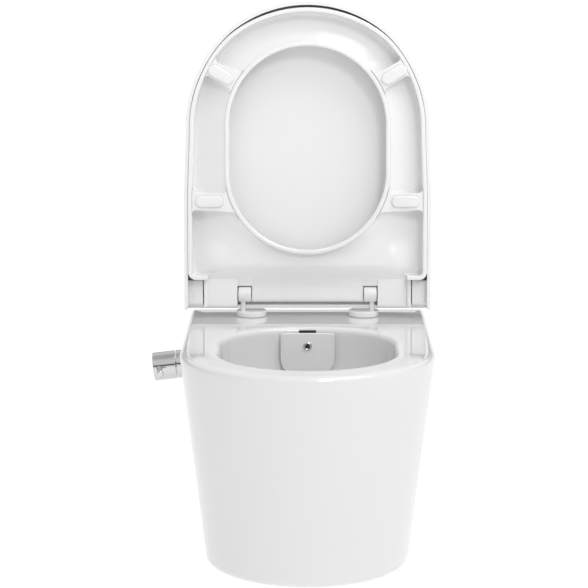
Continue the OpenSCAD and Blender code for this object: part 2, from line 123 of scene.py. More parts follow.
class Graph:
    """A material's nodes, made by one method."""

    def __init__(self, name: str) -> None:
        """Starts an empty material."""
        self.material = bpy.data.materials.new(name)
        self.material.use_nodes = True
        self.tree = self.material.node_tree
        self.tree.nodes.clear()

    def node(self, kind: str, settings: dict | None = None, **values: object) -> "Value":
        """Makes a node.

        Args:
            kind: The node's type.
            settings: Its settings, set before its sockets are filled.
            **values: Numbers or links for its sockets, named with _ for a space.

        Returns:
            The node's first visible output.
        """
        made = self.tree.nodes.new(kind)
        for key, value in (settings or {}).items():
            setattr(made, key, value)
        for key, value in values.items():
            socket = self.socket(made, key)
            if isinstance(value, Value):
                self.tree.links.new(value.socket, socket)
            else:
                socket.default_value = value
        outputs = [s for s in made.outputs if s.enabled]
        return Value(self, outputs[0] if outputs else None, made)

    @staticmethod
    def socket(made: bpy.types.Node, key: str) -> bpy.types.NodeSocket:
        """The enabled input of that name, or of that number when the key is like i0."""
        if key[0] == "i" and key[1:].isdigit():
            return made.inputs[int(key[1:])]
        name = key.replace("_", " ").lower()
        return next(s for s in made.inputs if s.enabled and s.name.lower() == name)

    def place(self) -> "Value":
        """The point on the object, in metres."""
        return self.node("ShaderNodeTexCoord").output("Object")

    def noise(self, scale: float, detail: float = 2.0) -> "Value":
        """A noise between 0 and 1."""
        return self.node("ShaderNodeTexNoise", Vector=self.place(), Scale=scale, Detail=detail)

    def blend(self, share: "Value", a: Sequence[float], b: Sequence[float]) -> "Value":
        """A colour between a and b."""
        return self.node(
            "ShaderNodeMix",
            {"data_type": "RGBA"},
            Factor=share,
            A=(*a, 1.0),
            B=(*b, 1.0),
        ).output("Result")


@dataclass(frozen=True)
class Value:
    """A node's output, on which arithmetic adds Math nodes."""

    graph: Graph
    socket: bpy.types.NodeSocket
    made: bpy.types.Node

    def output(self, name: str) -> "Value":
        """The same node's last enabled output of that name."""
        found = [s for s in self.made.outputs if s.name == name and s.enabled]
        return Value(self.graph, found[-1], self.made)

    def math(self, operation: str, other: "Value | float") -> "Value":
        """A Math node on this value and another."""
        return self.graph.node("ShaderNodeMath", {"operation": operation}, i0=self, i1=other)

    def __add__(self, other: "Value | float") -> "Value":
        return self.math("ADD", other)

    def __mul__(self, other: "Value | float") -> "Value":
        return self.math("MULTIPLY", other)


# ---------- finishes ----------


class Grain(Enum):
    """The fine pattern on a finish."""

    GLAZE = "glaze"
    MOULDED = "moulded"
    POLISHED = "polished"
    TURNED = "turned"
    BRAIDED = "braided"
    MATT = "matt"


@dataclass(frozen=True)
class Finish:
    """A finish: its two tones, its gloss and its fine pattern."""

    name: str
    grain: Grain
    light: tuple[float, float, float]
    dark: tuple[float, float, float]
    rough: tuple[float, float]
    metallic: float = 0.0
    ior: float = 1.5
    coat: float = 0.0
    subsurface: float = 0.0
    bump: float = 0.1
    depth: float = 0.0002

    def pattern(self, graph: Graph) -> tuple[Value, Value, Value]:
        """The tone, gloss and relief of the grain.

        Args:
            graph: The material's nodes.

        Returns:
            Three values between 0 and 1.
        """
        broad = graph.noise(9.0, 3.0)
        if self.grain is Grain.GLAZE:
            relief = graph.noise(70.0, 1.0) * 0.8 + graph.noise(500.0) * 0.06
            return broad, graph.noise(24.0, 2.0), relief
        if self.grain is Grain.MOULDED:
            fine = graph.noise(2600.0, 2.0)
            gloss = graph.noise(30.0, 3.0) * 0.8 + fine * 0.2
            return broad, gloss, fine * 0.5 + graph.noise(60.0, 1.0) * 0.5
        if self.grain is Grain.POLISHED:
            return broad, graph.noise(160.0, 4.0), graph.noise(45.0, 1.0)
        if self.grain is Grain.TURNED:
            lines = graph.node(
                "ShaderNodeTexWave",
                {"wave_type": "BANDS", "bands_direction": "Y"},
                Vector=graph.place(),
                Scale=420.0,
                Distortion=0.6,
                Detail=2.0,
            ).output("Fac")
            return broad, graph.noise(220.0, 3.0), lines
        if self.grain is Grain.BRAIDED:
            weave = [
                graph.node(
                    "ShaderNodeTexWave",
                    {"wave_type": "BANDS", "bands_direction": "DIAGONAL"},
                    Vector=graph.node(
                        "ShaderNodeMapping", Vector=graph.place(), Scale=(sign, 1.0, 1.0)
                    ),
                    Scale=300.0,
                ).output("Fac")
                for sign in (1.0, -1.0)
            ]
            plait = weave[0].math("MAXIMUM", weave[1])
            return plait, broad, plait
        return broad, graph.noise(400.0, 3.0), graph.noise(900.0, 4.0)

    def make(self) -> bpy.types.Material:
        """Builds the material."""
        graph = Graph(self.name)
        tone, gloss, relief = self.pattern(graph)
        bump = graph.node("ShaderNodeBump", Strength=self.bump, Distance=self.depth, Height=relief)
        shader = graph.node(
            "ShaderNodeBsdfPrincipled",
            Base_Color=graph.blend(tone, self.dark, self.light),
            Roughness=gloss * (self.rough[1] - self.rough[0]) + self.rough[0],
            Metallic=self.metallic,
            IOR=self.ior,
            Coat_Weight=self.coat,
            Coat_Roughness=0.03,
            Subsurface_Weight=self.subsurface,
            Subsurface_Scale=0.003,
            Normal=bump,
        )
        graph.node("ShaderNodeOutputMaterial", Surface=shader)
        return graph.material


FINISHES = (
    Finish("glazed_ceramic", Grain.GLAZE, (0.775, 0.775, 0.777), (0.76, 0.76, 0.762),
           (0.03, 0.06), ior=1.52, coat=0.3, bump=0.12, depth=0.0001),
    Finish("seat_plastic", Grain.MOULDED, (0.86, 0.86, 0.862), (0.845, 0.845, 0.847),
           (0.1, 0.16), ior=1.5, bump=0.06, depth=0.00005),
    Finish("hinge_plastic", Grain.MOULDED, (0.85, 0.85, 0.852), (0.83, 0.83, 0.832),
           (0.14, 0.2), bump=0.08, depth=0.00005),
    Finish("bumper", Grain.MOULDED, (0.85, 0.85, 0.852), (0.83, 0.83, 0.832),
           (0.14, 0.22), bump=0.1, depth=0.0001),
    Finish("soft_grey", Grain.MATT, (0.55, 0.55, 0.55), (0.48, 0.48, 0.48), (0.55, 0.7)),
    Finish("chrome", Grain.POLISHED, (0.68, 0.68, 0.69), (0.62, 0.62, 0.63),
           (0.02, 0.07), metallic=1.0, bump=0.02, depth=0.0001),
    Finish("steel", Grain.TURNED, (0.62, 0.61, 0.6), (0.5, 0.49, 0.48),
           (0.22, 0.36), metallic=1.0, bump=0.15, depth=0.00005),
    Finish("brass", Grain.TURNED, (0.7, 0.5, 0.22), (0.55, 0.38, 0.16),
           (0.22, 0.4), metallic=1.0, bump=0.15, depth=0.00005),
    Finish("braided_steel", Grain.BRAIDED, (0.7, 0.71, 0.73), (0.2, 0.2, 0.21),
           (0.25, 0.4), metallic=1.0, bump=0.6, depth=0.0004),
    Finish("dark_plastic", Grain.MOULDED, (0.09, 0.09, 0.095), (0.06, 0.06, 0.062),
           (0.35, 0.5), bump=0.15, depth=0.0001),
    Finish("black_rubber", Grain.MATT, (0.035, 0.035, 0.035), (0.02, 0.02, 0.02),
           (0.6, 0.8), bump=0.3),
)

CARRIED = {
    "hinge_plastic": ("wall_bushes", "bolt_nuts", "hinge_post_left", "hinge_post_right"),
    "soft_grey": ("hinge_gaskets",),
    "chrome": ("nozzle_nut", "pipe_nuts", "supply_nipple"),
    "steel": ("seat_bolts", "seat_damper_shaft", "lid_damper_shaft", "tap_spindle"),
    "brass": ("valve_body", "valve_nut"),
    "braided_steel": ("nozzle_pipe",),
    "dark_plastic": ("valve_cartridge", "seat_damper", "lid_damper", "lid_pivot_pin", "tap_screw"),
    "black_rubber": ("inlet_seal", "nozzle_seal", "valve_seal", "bolt_cones"),
    "bumper": ("lid_bumpers",),
}


# ---------- meshes ----------


class Maker:
    """Turns finished bmeshes into pieces of the model."""

    def __init__(self) -> None:
        """Makes every finish once."""
        self.materials = {finish.name: finish.make() for finish in FINISHES}

    def piece(
        self,
        name: str,
        bm: bmesh.types.BMesh,
        to: Matrix,
        slot: str,
        body: str,
        nodes: Sequence[str] = (),
        sharp: float = 35.0,
    ) -> bpy.types.Object:
        """Makes a piece from a bmesh.

        Args:
            name: The piece's name.
            bm: Its mesh, which is used up.
            to: Takes the mesh to its place in the row frame, in metres.
            slot: The material slot that it takes its finish from.
            body: The body that it rides on.
            nodes: The CAD nodes that it stands for.
            sharp: The angle above which an edge stays sharp, in degrees.

        Returns:
            The new object.
        """
        bm.transform(to)
        mesh = bpy.data.meshes.new(name)
        bm.to_mesh(mesh)
        bm.free()
        mesh.shade_smooth()
        mesh.set_sharp_from_angle(angle=math.radians(sharp))
        mesh.materials.append(self.materials[slot])
        made = bpy.data.objects.new(name, mesh)
        bpy.context.scene.collection.objects.link(made)
        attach(made, body)
        if nodes:
            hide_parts(*nodes)
        LOG.info("%s: %d faces on %s", name, len(mesh.polygons), body)
        return made

    def carry(self) -> None:
        """Dresses the CAD nodes that are shown as they are."""
        for slot, nodes in CARRIED.items():
            for node in nodes:
                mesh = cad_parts[node].data
                mesh.materials.clear()
                mesh.materials.append(self.materials[slot])
                LOG.info("%s: carried over in %s", node, slot)


def tidy(bm: bmesh.types.BMesh, gap: float = 1e-4) -> bmesh.types.BMesh:
    """Merges doubles and turns every face outwards."""
    bmesh.ops.remove_doubles(bm, verts=bm.verts, dist=gap)
    bmesh.ops.dissolve_degenerate(bm, edges=bm.edges, dist=gap / 2)
    bmesh.ops.recalc_face_normals(bm, faces=bm.faces)
    return bm


def sheet(
    bm: bmesh.types.BMesh, columns: int, rows: int, point: Callable[[float, float], Point]
) -> list[bmesh.types.BMVert]:
    """Lays a grid over a surface.

    Args:
        bm: The mesh to add it to.
        columns: How many faces the grid has one way.
        rows: How many it has the other way.
        point: The place of a grid point, from its column number and its row number.

    Returns:
        The grid's vertices.
    """
    made = bmesh.ops.create_grid(bm, x_segments=columns, y_segments=rows, size=1.0)["verts"]
    for v in made:
        v.co = point(round((v.co.x + 1) / 2 * columns, 3), round((v.co.y + 1) / 2 * rows, 3))
    return made


def lathe(bm: bmesh.types.BMesh, profile: Sequence[tuple[float, float]], steps: int = 72) -> None:
    """Spins a profile of (radius, height) round the Z axis."""
    verts = [bm.verts.new((r, 0, z)) for r, z in profile]
    edges = [bm.edges.new(pair) for pair in zip(verts, verts[1:])]
    bmesh.ops.spin(
        bm, geom=verts + edges, cent=(0, 0, 0), axis=(0, 0, 1),
        angle=2 * math.pi, steps=steps, use_merge=True, use_duplicate=False,
    )


def rounded(profile: Sequence[tuple[float, float, float]], steps: int = 5) -> list[tuple[float, float]]:
    """Rounds a profile's corners.

    Args:
        profile: Each corner and its rounding radius.
        steps: How many edges make each round.

    Returns:
        The points of the rounded profile.
    """
    out = [profile[0][:2]]
    for (ax, ay, _), (bx, by, r), (cx, cy, _) in zip(profile, profile[1:], profile[2:]):
        corner = Vector((bx, by))
        back, on = Vector((ax, ay)) - corner, Vector((cx, cy)) - corner
        if r <= 0:
            out.append((bx, by))
            continue
        half = back.angle(on) / 2
        reach = min(r / math.tan(half), back.length * 0.49, on.length * 0.49)
        start, end = corner + back.normalized() * reach, corner + on.normalized() * reach
        for n in range(steps + 1):
            t = n / steps
            p = start * (1 - t) ** 2 + corner * (2 * t * (1 - t)) + end * t**2
            out.append((p.x, p.y))
    out.append(profile[-1][:2])
    return out


def prism(bm: bmesh.types.BMesh, outline: Sequence[Point], run: Point, bevel: float) -> None:
    """Extrudes an outline and rounds all its edges.

    Args:
        bm: The mesh to add it to.
        outline: The corners of its first end.
        run: How far and which way it is extruded.
        bevel: The width of its rounded edges.
    """
    part = bmesh.new()
    face = part.faces.new([part.verts.new(p) for p in outline])
    grown = bmesh.ops.extrude_face_region(part, geom=[face])["geom"]
    bmesh.ops.translate(part, vec=run, verts=[g for g in grown if isinstance(g, bmesh.types.BMVert)])
    bmesh.ops.recalc_face_normals(part, faces=part.faces)
    if bevel > 0:
        sharp = [e for e in part.edges if e.is_manifold and e.calc_face_angle() > math.radians(30)]
        bmesh.ops.bevel(
            part, geom=sharp, offset=bevel, offset_type="OFFSET", affect="EDGES",
            segments=4, profile=0.5, material=-1, clamp_overlap=True,
        )
    join(bm, part)


def join(bm: bmesh.types.BMesh, part: bmesh.types.BMesh, to: Matrix | None = None) -> None:
    """Adds one bmesh to another and frees it."""
    if to is not None:
        part.transform(to)
    mesh = bpy.data.meshes.new("part")
    part.to_mesh(mesh)
    part.free()
    bm.from_mesh(mesh)
    bpy.data.meshes.remove(mesh)


def mirrored(bm: bmesh.types.BMesh) -> None:
    """Adds the other half of a shape whose half stands on the side of +X."""
    bmesh.ops.mirror(
        bm, geom=bm.verts[:] + bm.edges[:] + bm.faces[:], axis="X", merge_dist=0.01,
    )


def tapered(bm: bmesh.types.BMesh) -> None:
    """Draws the long sides of the seat or the lid in towards its front."""
    for v in bm.verts:
        cut = TAPER * smoothstep(112, 168, abs(v.co.x)) * smoothstep(140, 262, -v.co.y)
        v.co.x -= math.copysign(cut, v.co.x)


def stadium(length: float, width: float, arc: int = 16) -> list[tuple[float, float]]:
    """The outline of a flat stadium along X."""
    r, half = width / 2, (length - width) / 2
    out = []
    for side in (1, -1):
        for n in range(arc + 1):
            a = math.pi * n / arc - math.pi / 2
            out.append((side * (half + r * math.cos(a)), side * r * math.sin(a)))
    return out


def circle(r: float, count: int) -> list[tuple[float, float]]:
    """The corners of a regular outline, from the +X axis round."""
    return [
        (r * math.cos(2 * math.pi * n / count), r * math.sin(2 * math.pi * n / count))
        for n in range(count)
    ]


# ---------- pan ----------


@dataclass
class Pan:
    """The ceramic pan: outside, rim, bowl, trap and the hollow behind."""

    width: float = 360.0
    reach: float = 490.0
    base_width: float = 292.0
    base_reach: float = 437.0
    base_z: float = -225.0
    edge_round: float = 8.0
    base_round: float = 12.0
    wall: float = 11.0
    lip: float = 6.0
    columns: int = 300
    bowl: tuple = (
        (0.0, 76.0, 124.0, -145.0, -441.0, -252.0, -322.0),
        (0.3, 25.0, 122.5, -147.0, -433.0, -251.5, -320.5),
        (0.5, -25.0, 118.5, -152.0, -424.0, -250.0, -318.0),
        (0.7, -75.0, 102.0, -159.0, -401.0, -247.5, -300.0),
        (0.84, -115.0, 82.0, -167.0, -362.0, -244.0, -274.0),
        (0.94, -145.0, 66.0, -172.0, -325.0, -239.0, -254.0),
        (1.0, -163.0, 57.0, -176.0, -302.0, -236.0, -243.0),
    )
    trap: tuple = (
        (0.0, -238.0, -166.0, 0.0, 56.0, 61.0),
        (0.06, -233.0, -170.0, 20.0, 50.0, 52.0),
        (0.14, -221.0, -176.0, 48.0, 43.0, 42.0),
        (0.22, -203.0, -179.0, 72.0, 36.0, 34.0),
        (0.3, -183.0, -178.0, 90.0, 31.0, 30.0),
        (0.38, -163.0, -175.0, 102.0, 30.0, 29.0),
        (0.46, -147.0, -168.0, 128.0, 30.0, 29.0),
        (0.54, -136.0, -156.0, 150.0, 30.0, 30.0),
        (0.68, -118.0, -119.0, 153.0, 30.0, 30.0),
        (0.78, -106.0, -98.0, 140.0, 31.0, 30.0),
        (0.86, -94.0, -90.0, 110.0, 34.0, 33.0),
        (0.93, -79.0, -95.0, 82.0, 39.0, 38.0),
        (1.0, -62.0, -100.0, 90.0, 44.5, 44.5),
    )

    @staticmethod
    def share(u: float, stops: Sequence[float]) -> tuple[int, float]:
        """Which stretch of half an outline u is in, and how far along it."""
        for n, (low, high) in enumerate(zip(stops, stops[1:])):
            if u <= high:
                return n, (u - low) / (high - low)
        return len(stops) - 2, 1.0

    def outside(self, u: float, width: float, reach: float) -> tuple[float, float]:
        """A point on a D outline, from the middle of its back."""
        side = 1 if u <= 0.5 else -1
        part, t = self.share(min(u, 1 - u), (0.0, 0.08, 0.3, 0.5))
        r = width / 2
        if part == 0:
            return side * r * t, 0.0
        if part == 1:
            return side * r, -(reach - r) * t
        a = math.pi / 2 * t
        return side * r * math.cos(a), -(reach - r) - r * math.sin(a)

    def inside(self, u: float, egg: Sequence[float]) -> tuple[float, float]:
        """A point on an egg outline given by its half width, ends and centres."""
        rx, y_back, y_front, c_back, c_front = egg
        side = 1 if u <= 0.5 else -1
        part, t = self.share(min(u, 1 - u), (0.0, 0.17, 0.3, 0.5))
        a = math.pi / 2 * t
        if part == 0:
            return side * rx * math.sin(a), c_back + (y_back - c_back) * math.cos(a)
        if part == 1:
            return side * rx, mix(c_back, c_front, t)
        return side * rx * math.cos(a), c_front + (y_front - c_front) * math.sin(a)

    def rings(self) -> list[Callable[[float], Point]]:
        """The rings of the pan's skin, from the middle of its underside to the end of its trap."""
        out: list[Callable[[float], Point]] = []

        def add_outside(width: float, reach: float, z: float) -> None:
            out.append(lambda u: (*self.outside(u, width, reach), z))

        for k in (0.0, 0.3, 0.6, 0.85):
            add_outside((self.base_width - 24) * k, (self.base_reach - 12) * k, self.base_z)
        for n in range(9):
            a = math.pi / 2 * n / 8
            cut = self.base_round * (1 - math.sin(a))
            z = self.base_z + self.base_round * (1 - math.cos(a))
            add_outside(self.base_width - 2 * cut, self.base_reach - cut, z)
        top = RIM_Z - self.edge_round
        low = self.base_z + self.base_round
        for n in range(1, 20):
            t = n / 20
            add_outside(
                mix(self.base_width, self.width, t),
                mix(self.base_reach, self.reach, t),
                mix(low, top, t),
            )
        for n in range(9):
            a = math.pi / 2 * n / 8
            cut = self.edge_round * (1 - math.cos(a))
            add_outside(self.width - 2 * cut, self.reach - cut, top + self.edge_round * math.sin(a))
        edge = out[-1]
        mouth = self.bowl[0][2:]
        for n in range(1, 7):
            t = n / 7
            out.append(lambda u, t=t: self.deck(u, edge, mouth, t))
        for n in range(9):
            a = math.pi / 2 * n / 8
            grow = self.lip * (1 - math.sin(a))
            z = RIM_Z - 9 * (1 - math.cos(a))
            out.append(lambda u, g=grow, z=z: (*self.inside(u, self.grown(mouth, g)), z))
        for n in range(1, 34):
            row = eased(self.bowl, n / 33)
            out.append(lambda u, row=row: self.pocket(*self.inside(u, row[1:]), row[0]))
        for n in range(1, 29):
            row = eased(self.trap, n / 28)
            out.append(lambda u, row=row: self.pipe(u, *row))
        return out

    @staticmethod
    def grown(egg: Sequence[float], by: float) -> tuple[float, ...]:
        """An egg outline grown all round."""
        rx, y_back, y_front, c_back, c_front = egg
        return rx + by, y_back + by, y_front - by, c_back, c_front

    def deck(
        self, u: float, edge: Callable[[float], Point], mouth: Sequence[float], t: float
    ) -> Point:
        """A point on the flat of the rim, a share t of the way in."""
        ox, oy, _ = edge(u)
        ix, iy = self.inside(u, self.grown(mouth, self.lip))
        return mix(ox, ix, t), mix(oy, iy, t), RIM_Z

    @staticmethod
    def pocket(x: float, y: float, z: float) -> Point:
        """Sinks the flush outlet into the bowl's back wall, behind the shield."""
        across = smoothstep(24, 17, abs(x)) if y > -200 else 0.0
        up = smoothstep(0, 14, z) * smoothstep(72, 66, z)
        return x, y + 14 * across * up, z

    def pipe(self, u: float, y: float, z: float, turn: float, rx: float, ry: float) -> Point:
        """A point on a ring of the trap, whose run has turned from straight down towards the wall."""
        half = min(u, 1 - u)
        part, t = self.share(half, (0.0, 0.17, 0.3, 0.5))
        a = math.pi * ((0.0, 0.425, 0.5)[part] + t * (0.425, 0.075, 0.5)[part])
        side = 1 if u <= 0.5 else -1
        lean = math.radians(turn)
        out = ry * math.cos(a)
        return side * rx * math.sin(a), y + out * math.cos(lean), z + out * math.sin(lean)

    def body(self) -> bmesh.types.BMesh:
        """The pan's skin, open at the back."""
        bm = bmesh.new()
        rings = self.rings()
        n = self.columns
        sheet(bm, n, len(rings) - 1, lambda i, j: rings[int(j)](i / n % 1.0))
        back = [f for f in bm.faces if all(v.co.y > -0.001 for v in f.verts)]
        bmesh.ops.delete(bm, geom=back, context="FACES")
        bmesh.ops.remove_doubles(bm, verts=bm.verts, dist=1e-3)
        bmesh.ops.recalc_face_normals(bm, faces=bm.faces)
        lowest = min(bm.faces, key=lambda f: f.calc_center_median().z)
        if lowest.normal.z > 0:
            bmesh.ops.reverse_faces(bm, faces=bm.faces)
        return bm

    def back_fittings(self) -> bmesh.types.BMesh:
        """The blocks for the wall studs, the flush socket, its passage and the waste spigot."""
        bm = bmesh.new()
        for side in (-1, 1):
            self.stud_block(bm, side * 90.0)
        spigot = bmesh.new()
        lathe(spigot, rounded([
            (44, 62, 0), (45, 60, 0), (45, 10, 1.5), (51, 10, 2.5), (51, 30, 0), (51, 72, 3),
            (40, 78, 0),
        ]))
        join(bm, spigot, Matrix.Translation((0, 0, -100)) @ Matrix.Rotation(math.pi / 2, 4, "X"))
        socket = bmesh.new()
        lathe(socket, rounded([
            (14, 96, 0), (14, 54, 0.5), (24.8, 54, 0.5), (24.8, 50.1, 0.5), (27.5, 50.1, 0.5),
            (27.5, 0.1, 1.5), (36.5, 0.1, 2.5),
            (36.5, 60, 8), (22, 68, 3), (22, 146, 0),
        ]))
        join(bm, socket, Matrix.Translation((0, 0, 35)) @ Matrix.Rotation(math.pi / 2, 4, "X"))
        return tidy(bm)

    @staticmethod
    def stud_block(bm: bmesh.types.BMesh, x: float) -> None:
        """A block behind the rim with the bore for one wall stud."""
        count = 64
        box = [(17.0, -27.0), (17.0, 78.5), (-17.0, 78.5), (-17.0, -27.0)]
        outline = rounded([(*p, 4.0) for p in [box[-1], *box, box[0]]], 6)[1:-1]
        part = bmesh.new()
        outer = [part.verts.new((p[0] + x, -0.1, p[1])) for p in outline]
        loop = [part.edges.new((a, b)) for a, b in zip(outer, outer[1:] + outer[:1])]
        bore = [part.verts.new((x + a, -0.1, b)) for a, b in circle(10.1, count)]
        hole = [part.edges.new((a, b)) for a, b in zip(bore, bore[1:] + bore[:1])]
        bmesh.ops.triangle_fill(part, edges=loop + hole, use_beauty=True)
        faces = part.faces[:]
        grown = bmesh.ops.extrude_face_region(part, geom=faces)["geom"]
        verts = [g for g in grown if isinstance(g, bmesh.types.BMVert)]
        bmesh.ops.translate(part, vec=(0, -35.9, 0), verts=verts)
        bmesh.ops.recalc_face_normals(part, faces=part.faces)
        join(bm, part)

    def build(self, maker: Maker) -> None:
        """Makes the pan's pieces."""
        skin = maker.piece("pan_body", self.body(), METRES, "glazed_ceramic", "pan", ("pan",))
        wall = skin.modifiers.new("wall", "SOLIDIFY")
        wall.thickness = self.wall * MM
        wall.offset = -1
        wall.use_even_offset = True
        maker.piece(
            "pan_back_fittings", self.back_fittings(), METRES, "glazed_ceramic", "pan", sharp=40,
        )


# ---------- nozzle ----------


@dataclass
class Nozzle:
    """The shield in the bowl and the nozzle that looks through it."""

    width: float = 80.0
    height: float = 61.3
    small: float = 5.0
    large: float = 25.0
    face_y: float = -160.0
    thickness: float = 5.0
    top_z: float = 79.3
    nozzle_z: float = 60.0
    # Half width, low z and high z of the black block that paints the flush outlet's shadow above the
    # shield, and next the y where that block starts.
    slot: tuple[float, float, float] = (13.0, 75.5, 81.0)
    shadow_slot_y: float = -145.4

    def shield(self) -> bmesh.types.BMesh:
        """A plate with small corners above and large ones below."""
        half, low = self.width / 2, self.top_z - self.height
        corners = [
            (half, low, self.large), (half, self.top_z, self.small),
            (-half, self.top_z, self.small), (-half, low, self.large),
        ]
        loop = rounded([corners[-1], *corners, corners[0]], 10)[1:-1]
        bm = bmesh.new()
        prism(bm, [(x, self.face_y, z) for x, z in loop], (0, self.thickness, 0), 1.4)
        boss = bmesh.new()
        lathe(boss, [(11, 0), (11, 7)], 48)
        join(bm, boss, Matrix.Translation((0, self.face_y + 14, self.nozzle_z))
             @ Matrix.Rotation(math.pi / 2, 4, "X"))
        return bm

    def head(self) -> bmesh.types.BMesh:
        """The nozzle's flange, its bored tip and its shank."""
        bm = bmesh.new()
        lathe(bm, rounded([
            (0, 0.2, 0), (3.5, 0.2, 0.2), (3.6, 1.9, 0.5), (4.8, 2.4, 0.6), (6.5, 1.2, 0.8),
            (6.5, -0.1, 0.3), (5, -0.1, 0.2), (5, -42, 0.5), (0, -42, 0),
        ], 6), 64)
        bmesh.ops.rotate(bm, verts=bm.verts, matrix=Matrix.Rotation(math.pi / 2, 3, "X"))
        bmesh.ops.translate(bm, verts=bm.verts, vec=(0, self.face_y, self.nozzle_z))
        return tidy(bm)

    def build(self, maker: Maker) -> None:
        """Makes the shield, the nozzle, a black disc in its shallow bore as painted shade for a deep
        hole, and a black block above the shield as painted shadow in the flush outlet.
        """
        maker.piece(
            "nozzle_plate", self.shield(), METRES, "glazed_ceramic", "pan", ("nozzle_shield",),
        )
        maker.piece("nozzle_head", self.head(), METRES, "chrome", "pan", ("bidet_nozzle",))
        # A black disc in the nozzle's shallow bore: painted shade that stands for the dark of a deep
        # hole.
        bore_shade = bmesh.new()
        lathe(bore_shade, rounded([
            (0, 1.2, 0), (0.9, 1.2, 0.2), (1.1, 0.6, 0.2), (3.4, 0.6, 0.2), (3.4, 0.3, 0), (0, 0.3, 0),
        ]), 48)
        place = METRES @ Matrix.Translation((0, self.face_y, self.nozzle_z))
        turned = place @ Matrix.Rotation(math.pi / 2, 4, "X")
        maker.piece("nozzle_bore_painted_shade", tidy(bore_shade), turned, "black_rubber", "pan")
        # A black block behind the top of the shield: painted shadow that stands for the dark mouth of
        # the flush outlet.
        half, low, high = self.slot
        corners = [(-half, low), (half, low), (half, high), (-half, high)]
        slot = bmesh.new()
        prism(slot, [(x, self.shadow_slot_y, z) for x, z in corners], (0, 6.0, 0), 0.3)
        maker.piece("flush_slot_painted_shadow", slot, METRES, "black_rubber", "pan")


# ---------- tap ----------


@dataclass
class Tap:
    """The side tap: a fixed ring, a turning handle and its lever."""

    origin: Point = (-174.37, -130.0, 29.0)
    slope: float = 6.69
    radius: float = 21.0
    ring: float = 20.0
    gap: float = 1.2
    handle: float = 34.0
    lever_at: float = 48.0
    lever_r: float = 4.5
    lever_end: float = 58.0
    droop: float = 6.0

    def frame(self) -> Matrix:
        """From the tap's own axis, along +Z, to the row frame."""
        turn = Matrix.Rotation(math.radians(180 - self.slope), 4, "Y")
        up = Matrix.Rotation(math.radians(90), 4, "Y")
        return METRES @ Matrix.Translation(self.origin) @ turn @ up

    def build(self, maker: Maker) -> None:
        """Makes the tap's pieces."""
        r, start = self.radius, self.ring + self.gap
        end = start + self.handle
        ring = bmesh.new()
        lathe(ring, rounded([
            (17, 0.2, 0), (r, 0.2, 0.6), (r, self.ring, 0.7), (5.2, self.ring, 0.2), (5.2, 12, 0),
        ]), 96)
        maker.piece("tap_ring", tidy(ring), self.frame(), "chrome", "pan", ("tap_base_ring",))
        handle = bmesh.new()
        lathe(handle, rounded([
            (4.2, start + 12, 0), (4.2, start, 0.2), (r, start, 0.7), (r, end, 1.1),
            (r - 3.2, end, 0.5), (r - 3.8, end - 0.7, 0.5), (0, end - 0.7, 0),
        ]), 96)
        maker.piece("tap_knob", tidy(handle), self.frame(), "chrome", "tap", ("tap_handle",))
        lever = bmesh.new()
        rod, tip = self.lever_r, self.lever_r + 0.5
        lathe(lever, rounded([
            (0, r - 8, 0), (rod, r - 8, 0), (rod, self.lever_end - 3.5, 0.3),
            (tip, self.lever_end - 3.3, 0.5), (tip, self.lever_end, 1.6), (0, self.lever_end, 0),
        ], 6), 64)
        aim = Matrix.Translation((0, 0, self.lever_at)) @ Matrix.Rotation(math.radians(-90), 4, "Z")
        reach = Matrix.Rotation(math.radians(90), 4, "Y")
        droop = Matrix.Rotation(math.radians(self.droop), 4, "Y")
        maker.piece(
            "tap_lever", tidy(lever), self.frame() @ aim @ droop @ reach, "chrome", "tap",
            ("tap_lever_pin",),
        )


# ---------- hinge ----------


@dataclass
class Hinge:
    """The two discs on the rim and the barrels above them."""

    disc_x: float = 85.4
    disc_y: float = -50.0
    disc_r: float = 23.0
    disc_h: float = 8.0
    barrel_in: float = 85.4
    barrel_out: float = 104.5
    barrel_r: float = 11.7

    def build(self, maker: Maker) -> None:
        """Makes a disc and a barrel on each side."""
        for side, name in ((-1, "left"), (1, "right")):
            disc = bmesh.new()
            lathe(disc, rounded([
                (0, 0.2, 0), (self.disc_r, 0.2, 0.5), (self.disc_r, self.disc_h, 1.2),
                (0, self.disc_h, 0),
            ], 7), 96)
            bmesh.ops.translate(
                disc, verts=disc.verts, vec=(side * self.disc_x, self.disc_y, RIM_Z + 1),
            )
            maker.piece(
                f"hinge_foot_{name}", tidy(disc), METRES, "hinge_plastic", "pan",
                (f"hinge_disc_{name}",),
            )
            barrel = bmesh.new()
            length = self.barrel_out - self.barrel_in
            lathe(barrel, rounded([
                (0, 0, 0), (self.barrel_r, 0, 1.6), (self.barrel_r, length, 1.0),
                (5, length, 0.3), (5, length - 3, 0.2), (4, length - 3, 0),
            ], 6), 80)
            start = self.barrel_in if side > 0 else -self.barrel_in
            turn = Matrix.Rotation(math.radians(90 * side), 4, "Y")
            place = METRES @ Matrix.Translation((start, AXIS_Y, AXIS_Z)) @ turn
            maker.piece(
                f"hinge_eye_{name}", tidy(barrel), place, "hinge_plastic", "pan",
                (f"hinge_barrel_{name}",),
            )


# ---------- seat ----------


@dataclass(frozen=True)
class Station:
    """A line across the seat from its outside to its hole."""

    outer: tuple[float, float]
    inward: tuple[float, float]
    hole: tuple[float, float]
    outward: tuple[float, float]
    bridge: float
    back: bool


